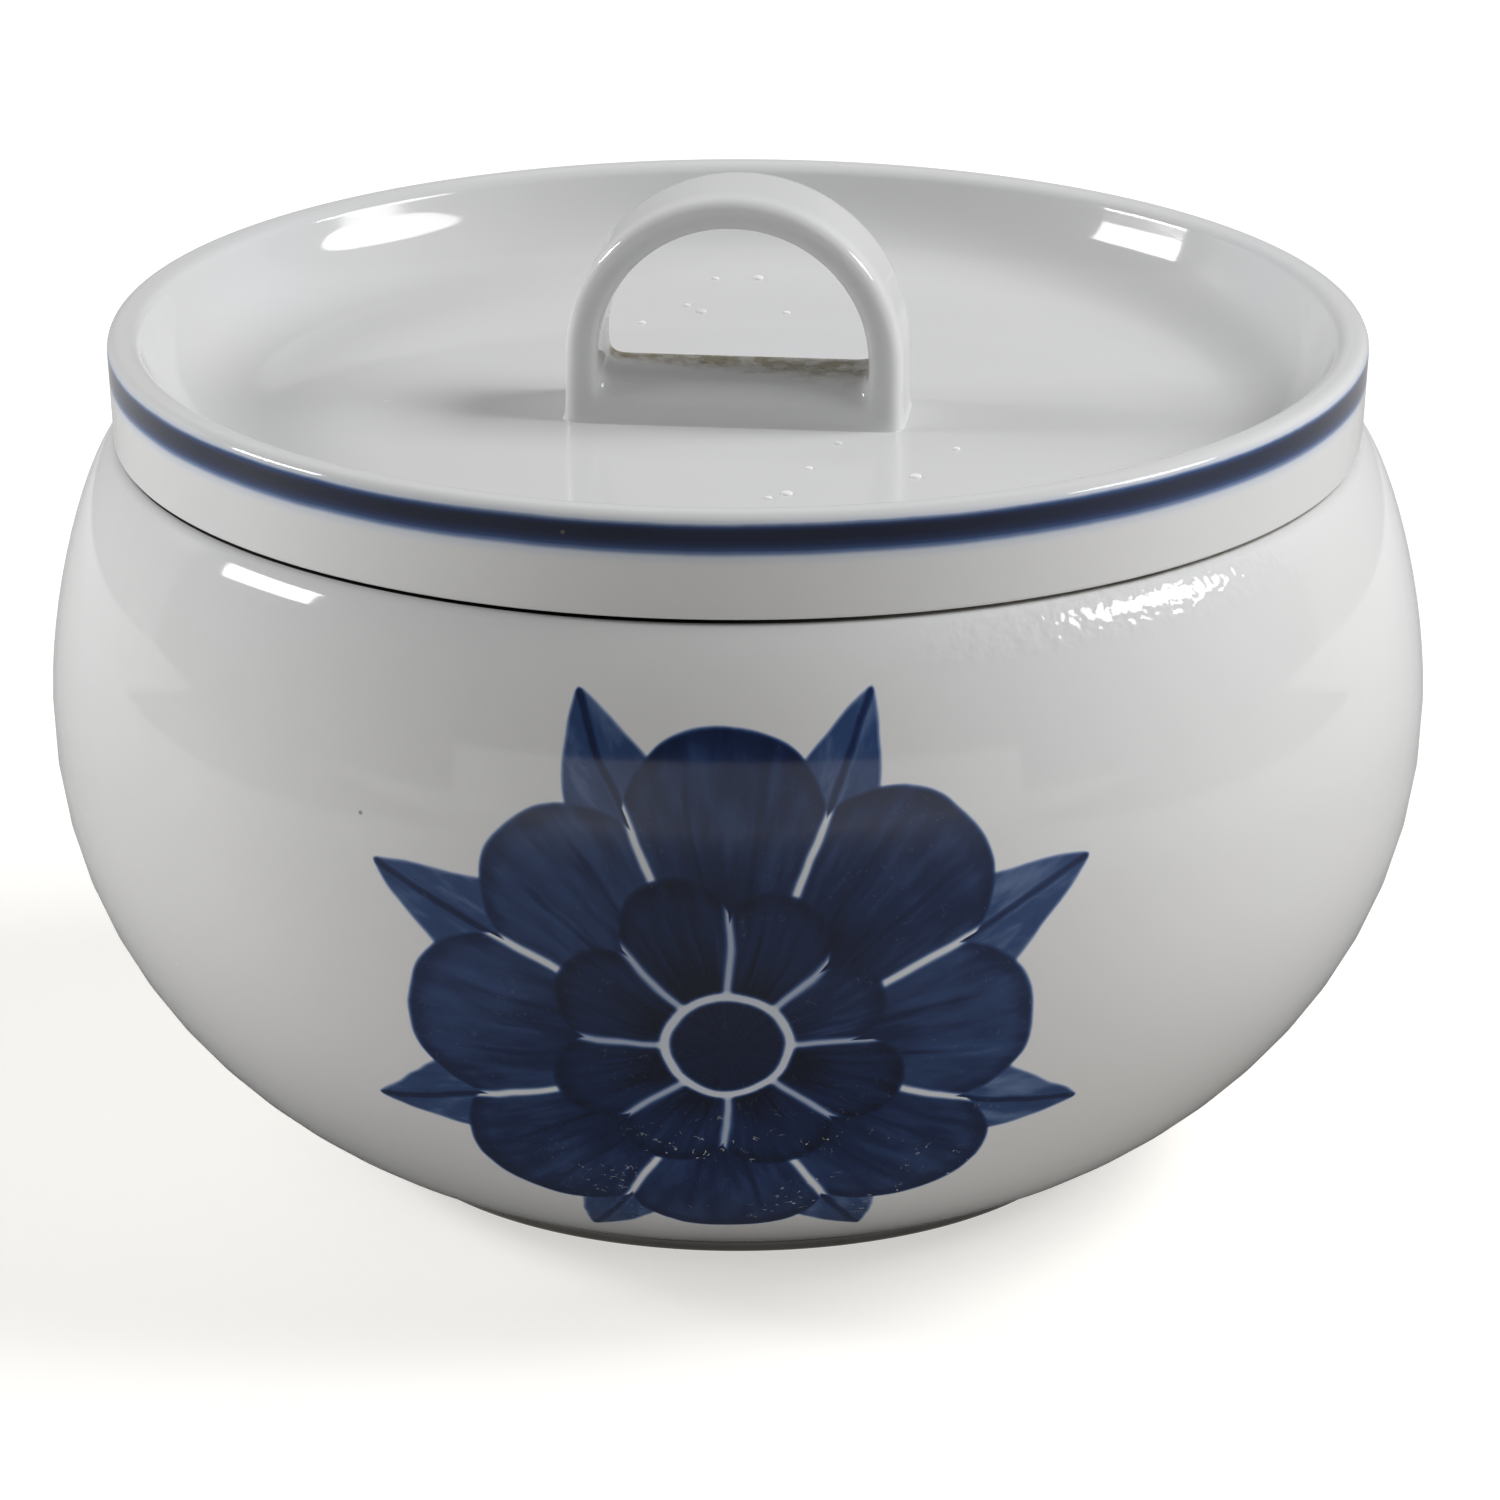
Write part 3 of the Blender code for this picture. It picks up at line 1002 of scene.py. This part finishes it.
def joint_shade(tree, place):
    """Share of painted shade in the joint: a dark line along its outer edge for the gap's shadow,
    that fades to the right.
    """
    across, along, _ = parts_of(tree, place)
    edge = diagonal(across, along).rise(*JOINT_SHADE_EDGE)
    return (1 - across.rise(*JOINT_SHADE_FADES) * 0.92) * (edge * 0.9 + 0.1)


def bare_porcelain(name, clay, painted_shade=None):
    """Unglazed fired clay of a colour, darker where it is rubbed, and with painted shade where that
    is asked for.
    """
    material, tree, shader = new_finish(name)
    place = place_on(tree)
    grain = cloud(tree, place, 0.5, detail=3.0)
    rubbed = cloud(tree, place, 7.0, detail=4.0).rise(0.45, 0.75)
    body = mixed(tree, grain, [0.9 * part for part in clay], clay)
    body = mixed(tree, rubbed * 0.5, body, [0.6 * part for part in clay])
    if painted_shade:
        body = mixed(tree, painted_shade(tree, place), body, JOINT_SHADE_COLOUR)
    tree.links.new(body, shader.inputs["Base Color"])
    feed(tree, shader.inputs["Roughness"], grain * 0.2 + 0.6)
    tree.links.new(bumps(tree, grain, GRAIN_DEPTH), shader.inputs["Normal"])
    return material


# %% [markdown]
# ## Dressing the pieces
#
# A piece can carry several finishes in its material slots. The first one covers all of it, and
# faces are then picked by their place and normal and given another. Each piece takes the place of
# its solid and rides on that solid's body, so the lid's pieces lift off together.

# %% Finishes on faces
FLUSH = 0.05
CRUMB_RISE = 0.005


def dress(piece, finish, others=()):
    """Gives a piece its main finish, and others to the faces that are wanted for them."""
    bpy.ops.object.select_all(action="DESELECT")
    bpy.context.view_layer.objects.active = piece
    piece.select_set(True)
    piece.data.materials.append(finish)
    for slot, (other, wanted) in enumerate(others, start=1):
        piece.data.materials.append(other)
        select_faces(piece, wanted)
        piece.active_material_index = slot
        bpy.ops.object.material_slot_assign()
        bpy.ops.object.mode_set(mode="OBJECT")
    counts = [0] * len(piece.data.materials)
    for face in piece.data.polygons:
        counts[face.material_index] += 1
    print(piece.name, dict(zip([m.name for m in piece.data.materials], counts)))


def outwards(middle, normal):
    """How far a normal points away from the axis."""
    return normal.x * middle.x + normal.y * middle.y


def on_inside(middle, normal):
    return outwards(middle, normal) <= 0


def on_foot(middle, normal):
    return middle.z < FLUSH * MM


def on_rim(middle, normal):
    return middle.z > (RIM_HEIGHT - FLUSH) * MM


def on_flange(middle, normal):
    radius = math.hypot(middle.x, middle.y)
    return middle.z < SEAT_HEIGHT * MM and radius > (FLANGE_OUTSIDE - FLANGE_WIDTH / 2) * MM


def on_seat(middle, normal):
    return abs(middle.z - SEAT_HEIGHT * MM) < FLUSH * MM and normal.z < -0.5


def on_crumb(middle, normal):
    radius = math.hypot(middle.x, middle.y)
    return middle.z > (DISH_FLOOR + CRUMB_RISE) * MM and radius < cove_foot * MM


plain_glaze = glaze("porcelain_glaze")
bare = bare_porcelain("bare_porcelain", (0.68, 0.665, 0.63))
# The rim and the lid's seat are painted dark: painted shade of the gap between them.
shaded_joint = bare_porcelain("shaded_joint", (0.60, 0.585, 0.55), painted_shade=joint_shade)
crumb_white = bare_porcelain("crumb_white", (0.88, 0.88, 0.87))
# The bowl's glaze is darkened round the foot with painted shade, with some grime.
blossom_glaze = glaze(
    "blossom_glaze", paint=blossom, stain_and_shade=foot_shade_and_grime, pebbled=shoulder_patch, linty=low_front
)
dress(bowl, blossom_glaze, [
    (plain_glaze, on_inside),
    (bare, on_foot),
    (shaded_joint, on_rim),
])
dress(lid, glaze("stripe_glaze", paint=stripe), [
    (plain_glaze, on_inside),
    (bare, on_flange),
    (shaded_joint, on_seat),
    (crumb_white, on_crumb),
])
dress(loop, glaze("loop_glaze", stain_and_shade=bar_stain))

for piece, node, body, slot in (
    (bowl, "bowl", "bowl", "bowl_glaze"),
    (lid, "lid", "lid", "lid_glaze"),
    (loop, "lid_handle", "lid", "handle_glaze"),
):
    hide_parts(node)
    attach(piece, body)

# %% [markdown]
# ## The camera
#
# The camera stands 0.8 m away, 19 degrees above the table, and 6 degrees to the right of the
# loop's front, with a long lens, so the rim is a flat ellipse and the dish's floor shows. A small
# shift puts the bowl where the picture has it.

# %% Camera
CAMERA_DISTANCE = 0.8
CAMERA_AZIMUTH = 6.0
CAMERA_ELEVATION = 19.21
CAMERA_AIM = Vector((0.0, 0.0, 0.03622))
PICTURE_SIZE = 1500
PIXELS_PER_MM = 10.90
AXIS_PIXEL = 738
SENSOR_WIDTH = 36.0


def direction(azimuth, elevation):
    """The direction to an azimuth, counted from the front to the right, and an elevation."""
    turned = math.radians(azimuth)
    raised = math.radians(elevation)
    return Vector((
        math.cos(raised) * math.sin(turned),
        -math.cos(raised) * math.cos(turned),
        math.sin(raised),
    ))


toward = direction(CAMERA_AZIMUTH, CAMERA_ELEVATION)
bpy.ops.object.camera_add(
    location=CAMERA_AIM + toward * CAMERA_DISTANCE,
    rotation=toward.to_track_quat("Z", "Y").to_euler(),
)
camera = bpy.context.object
camera.name = "picture_camera"
camera.data.sensor_width = SENSOR_WIDTH
camera.data.lens = PIXELS_PER_MM * CAMERA_DISTANCE / MM / PICTURE_SIZE * SENSOR_WIDTH
camera.data.shift_x = (PICTURE_SIZE / 2 - AXIS_PIXEL) / PICTURE_SIZE
bpy.context.scene.camera = camera
bpy.context.scene.view_settings.view_transform = "Standard"
print("Lens", round(camera.data.lens, 1), "mm")

# %% [markdown]
# ## The studio
#
# The bowl stands on white paper between two soft lamps, left and right, with little light from the
# front, so the front is a quiet grey and the sides are bright. Each lamp also lights the wall or
# ceiling beside it, which glows too softly to show in the glaze. The floor and the sky look white
# to the camera, also where the lamps don't reach, and give the bowl a plain, lower light. What the
# glaze mirrors is the room round the bowl: a box that only mirror rays see. Its walls are dark, and
# so are the feet of the lamps. The paper lies between them, darkest in the bowl's own shadow and
# paler further off, and turns up to a backdrop.

# %% Floor and sky
FLOOR_SIZE = 6.0
SKY_LIGHT = 0.19
FLOOR_COLOUR = (0.60, 0.585, 0.555)
FLOOR_GLOW_COLOUR = (1.0, 0.985, 0.96)
FLOOR_ROUGHNESS = 0.9
FLOOR_GLOW = 0.56
FLOOR_LIGHT = 0.14
LAMPLIT_RADIUS = 450.0
UNLIT_RADIUS = 750.0
UNLIT_GLOW = 0.46


def seen_directly(tree):
    """1 for rays from the camera, mirrors and glass, and 0 for rays that carry light."""
    path = tree.nodes.new("ShaderNodeLightPath")
    camera_ray = Field(tree, path.outputs["Is Camera Ray"])
    mirror_ray = Field(tree, path.outputs["Is Glossy Ray"])
    glass_ray = Field(tree, path.outputs["Is Transmission Ray"])
    return camera_ray.math("MAXIMUM", mirror_ray).math("MAXIMUM", glass_ray)


def make_sky():
    world = bpy.data.worlds.new("studio_sky")
    bpy.context.scene.world = world
    world.use_nodes = True
    tree = world.node_tree
    background = tree.nodes["Background"]
    background.inputs["Color"].default_value = (1.0, 1.0, 1.0, 1.0)
    feed(tree, background.inputs["Strength"], seen_directly(tree) * (1 - SKY_LIGHT) + SKY_LIGHT)


def make_floor():
    bpy.ops.object.select_all(action="DESELECT")
    bpy.ops.mesh.primitive_plane_add(size=FLOOR_SIZE, location=(0.0, 0.0, 0.0))
    floor = bpy.context.object
    floor.name = "studio_floor"
    material, tree, shader = new_finish("pale_floor")
    shader.inputs["Base Color"].default_value = (*FLOOR_COLOUR, 1.0)
    shader.inputs["Roughness"].default_value = FLOOR_ROUGHNESS
    shader.inputs["Emission Color"].default_value = (*FLOOR_GLOW_COLOUR, 1.0)
    across, along, _ = parts_of(tree, place_on(tree))
    unlit = diagonal(across, along).rise(LAMPLIT_RADIUS, UNLIT_RADIUS)
    seen_glow = unlit * UNLIT_GLOW + (FLOOR_GLOW - FLOOR_LIGHT)
    glow = seen_directly(tree) * seen_glow + FLOOR_LIGHT
    feed(tree, shader.inputs["Emission Strength"], glow)
    floor.data.materials.append(material)


make_sky()
make_floor()
print(f"Floor {FLOOR_SIZE} m wide, sky light {SKY_LIGHT}")

# %% Lamps
LAMP_DISTANCE = 1.08


def soft_lamp(name, shape, azimuth, elevation, roll, size, power, mirrored=True):
    """A shape of light that faces the bowl, rolled about its own axis."""
    place = direction(azimuth, elevation)
    facing = place.to_track_quat("Z", "Y") @ Quaternion((0.0, 0.0, 1.0), math.radians(roll))
    bpy.ops.object.light_add(
        type="AREA", location=place * LAMP_DISTANCE, rotation=facing.to_euler()
    )
    lamp = bpy.context.object
    lamp.name = name
    lamp.data.shape = shape
    lamp.data.size, lamp.data.size_y = size
    lamp.data.energy = power
    lamp.visible_camera = False
    lamp.visible_glossy = mirrored
    print(f"{name}: {power} W, {azimuth} degrees round and {elevation} degrees up")


soft_lamp(
    "lamp_left", "RECTANGLE", azimuth=-88.0, elevation=28.5, roll=20.0, size=(0.36, 0.17), power=3.8
)
soft_lamp(
    "glow_left", "RECTANGLE", azimuth=-96.0, elevation=17.0, roll=0.0, size=(0.50, 0.40), power=4.2,
    mirrored=False,
)
soft_lamp(
    "lamp_right", "ELLIPSE", azimuth=88.0, elevation=33.0, roll=-20.0, size=(0.56, 0.26), power=3.6
)
soft_lamp(
    "glow_right", "ELLIPSE", azimuth=97.0, elevation=48.0, roll=0.0, size=(0.55, 0.35), power=6.7,
    mirrored=False,
)

# %% Room that the glaze mirrors
ROOM_WIDTH = 2.6
ROOM_FRONT = -0.9
ROOM_BACK = 0.35
ROOM_HEIGHT = 1.3
PAPER_WIDTH = 1.85
CARD_HEIGHT = 0.16
STAND_GAP = 0.60
STAND_FRONT = -0.35
STAND_BACK = 0.12
WALL_GLOW = 0.05
NEAR_GLOW = 0.27
FAR_GLOW = 0.30
SIDE_GLOW = 0.25
BACK_GLOW = 0.08
BACKDROP_GLOW = 0.37
SHADE_SHARE = 0.15
PAPER_MIDDLE = -100.0
PAPER_FAR = (100.0, 800.0)
PAPER_ASIDE = (60.0, 280.0)
PAPER_BEHIND = (-20.0, 200.0)
BOWL_SHADE = (35.0, 110.0)


def on_paper(middle, normal):
    """Tells whether a wall of the room is the paper on the floor or the card in front of it."""
    in_front = normal.y < -0.5 and middle.z < CARD_HEIGHT
    between = abs(middle.x) < STAND_GAP / 2 or not STAND_FRONT < middle.y < STAND_BACK
    below = normal.z < -0.5 and between
    return abs(middle.x) < PAPER_WIDTH / 2 and (in_front or below)


def on_backdrop(middle, normal):
    return normal.y > 0.5 and abs(middle.x) < PAPER_WIDTH / 2


def wall_finish(name, glow):
    """A wall that shows an even grey, whatever the light."""
    material, _, shader = new_finish(name)
    shader.inputs["Base Color"].default_value = (0.0, 0.0, 0.0, 1.0)
    shader.inputs["Emission Color"].default_value = (1.0, 1.0, 1.0, 1.0)
    shader.inputs["Emission Strength"].default_value = glow
    return material


def paper_finish():
    """The paper: a painted shadow of the bowl under it, and paler further off and to the sides."""
    material = wall_finish("paper", NEAR_GLOW)
    tree = material.node_tree
    across, along, _ = parts_of(tree, place_on(tree))
    far = abs(along - PAPER_MIDDLE).rise(*PAPER_FAR)
    aside = abs(across).rise(*PAPER_ASIDE)
    behind = along.rise(*PAPER_BEHIND)
    outside = diagonal(across, along).rise(*BOWL_SHADE)
    glow = far * FAR_GLOW + aside * SIDE_GLOW + behind * BACK_GLOW + NEAR_GLOW
    glow = glow * (outside * (1 - SHADE_SHARE) + SHADE_SHARE)
    feed(tree, tree.nodes["Principled BSDF"].inputs["Emission Strength"], glow)
    return material


def make_room():
    bpy.ops.object.select_all(action="DESELECT")
    middle = (0.0, (ROOM_FRONT + ROOM_BACK) / 2, ROOM_HEIGHT / 2 + MM)
    bpy.ops.mesh.primitive_cube_add(size=1.0, location=middle)
    room = bpy.context.object
    room.name = "mirrored_room"
    room.scale = (ROOM_WIDTH, ROOM_BACK - ROOM_FRONT, ROOM_HEIGHT)
    bpy.ops.object.transform_apply(location=True, rotation=True, scale=True)
    bpy.ops.object.mode_set(mode="EDIT")
    cuts = [(side * width / 2, 0.0, 0.0) for side in (-1, 1) for width in (PAPER_WIDTH, STAND_GAP)]
    cuts += [(0.0, STAND_FRONT, 0.0), (0.0, STAND_BACK, 0.0), (0.0, 0.0, CARD_HEIGHT)]
    for cut in cuts:
        bpy.ops.mesh.select_all(action="SELECT")
        bpy.ops.mesh.bisect(plane_co=cut, plane_no=Vector(cut).normalized())
    bpy.ops.object.mode_set(mode="OBJECT")
    dress(room, wall_finish("dark_walls", WALL_GLOW), [
        (paper_finish(), on_paper),
        (wall_finish("backdrop", BACKDROP_GLOW), on_backdrop),
    ])
    room.rotation_euler.z = math.radians(CAMERA_AZIMUTH)
    room.visible_camera = False
    room.visible_diffuse = False
    room.visible_shadow = False


make_room()
